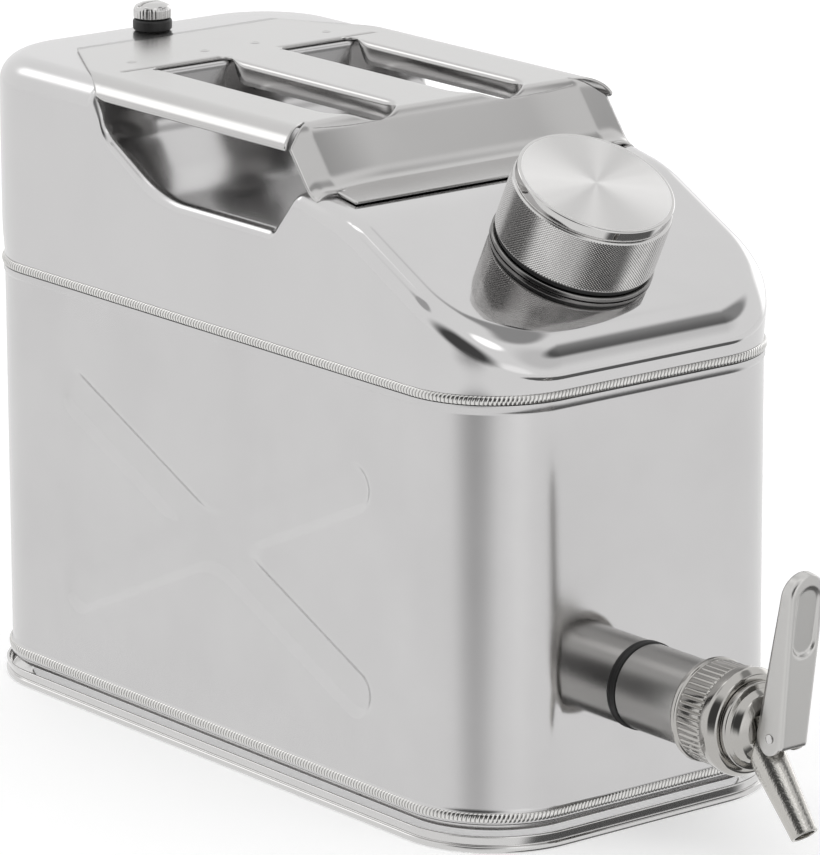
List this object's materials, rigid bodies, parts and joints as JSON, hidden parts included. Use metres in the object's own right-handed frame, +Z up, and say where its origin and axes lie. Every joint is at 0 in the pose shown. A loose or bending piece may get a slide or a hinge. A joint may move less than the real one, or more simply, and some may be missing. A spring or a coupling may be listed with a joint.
{
  "type": "dispensing canister",
  "caption": "Welded stainless steel can with rounded corners, pressed crosses on its sides, a slotted carrying plate, a sloped front with a screw cap, a vent screw and a lever tap.",
  "frame": {"origin": "middle of the whole object's footprint box, on the surface that the foot band stands on", "axes": "+Z up; the tap points along -Y, so Y is the long way from the tap's tip to the can's rear; X is across the can, and the object is symmetric about X = 0"},
  "size_m": [0.1708, 0.439, 0.2779],
  "materials": {
    "side_steel": "bright cold-rolled stainless sheet, soft satin reflection",
    "top_steel": "pressed stainless sheet, finely brushed",
    "plate_steel": "pressed stainless sheet, semi-bright",
    "band_steel": "bright rolled stainless channel",
    "cap_steel": "turned stainless, knurled grip and spun top",
    "tap_nickel": "pale nickel-plated casting",
    "lever_nickel": "satin nickel-plated pressing",
    "rubber": "black rubber, matt"
  },
  "bodies": {
    "can": {"lower_shell": "side_steel", "upper_shell": "top_steel", "base_pan": "side_steel", "foot_band": "band_steel", "handle_plate": "plate_steel", "vent_boss": "cap_steel", "filler_neck": "cap_steel", "cap_seal": "rubber", "outlet_socket": "side_steel", "outlet_gasket": "rubber", "tap_sleeve": "side_steel"},
    "cap_carrier": {"cap_liner": "rubber"},
    "cap": {"filler_cap": "cap_steel"},
    "vent_carrier": {"vent_seal": "rubber"},
    "vent": {"vent_screw": "cap_steel"},
    "tap": {"tap_body": "tap_nickel", "tap_gasket": "rubber", "stem_seal": "rubber", "valve_spring": "cap_steel", "lever_pin": "cap_steel"},
    "nut": {"union_nut": "tap_nickel"},
    "stem": {"tap_stem": "cap_steel"},
    "lever": {"lever": "lever_nickel"}
  },
  "joints": [
    {"name": "cap_lift", "type": "slide", "parent": "can", "child": "cap_carrier", "axis": [0, -0.4462, 0.8949], "range_m": [0, 0.0151]},
    {"name": "cap_turn", "type": "hinge", "parent": "cap_carrier", "child": "cap", "pos_m": [0, -0.07713, 0.22086], "axis": [0, -0.4462, 0.8949], "range_deg": [0, 1800]},
    {"name": "vent_lift", "type": "slide", "parent": "can", "child": "vent_carrier", "axis": [0, 0, 1], "range_m": [0, 0.0061]},
    {"name": "vent_turn", "type": "hinge", "parent": "vent_carrier", "child": "vent", "pos_m": [0, 0.19637, 0.2657], "axis": [0, 0, 1], "range_deg": [0, 2160]},
    {"name": "tap_slide", "type": "slide", "parent": "can", "child": "tap", "axis": [0, -1, 0], "range_m": [0, 0.012]},
    {"name": "nut_turn", "type": "hinge", "parent": "tap", "child": "nut", "pos_m": [0, -0.17263, 0.056], "axis": [0, -1, 0], "range_deg": [0, 2170]},
    {"name": "lever_pull", "type": "hinge", "parent": "tap", "child": "lever", "pos_m": [0, -0.20233, 0.0555], "axis": [1, 0, 0], "range_deg": [0, 60], "stiffness_Nm_per_rad": 0.15, "springref_deg": -28.65, "deforming": ["valve_spring"]},
    {"name": "stem_push", "type": "slide", "parent": "tap", "child": "stem", "axis": [0, 1, 0], "range_m": [0, 0.0023]}
  ],
  "couplings": [
    {"joint": "cap_lift", "follows": "cap_turn", "m_per_rad": 0.00047746},
    {"joint": "vent_lift", "follows": "vent_turn", "m_per_rad": 0.00015915},
    {"joint": "nut_turn", "follows": "tap_slide", "rad_per_m": 3141.6},
    {"joint": "stem_push", "follows": "lever_pull", "m_per_rad": 0.0021}
  ]
}
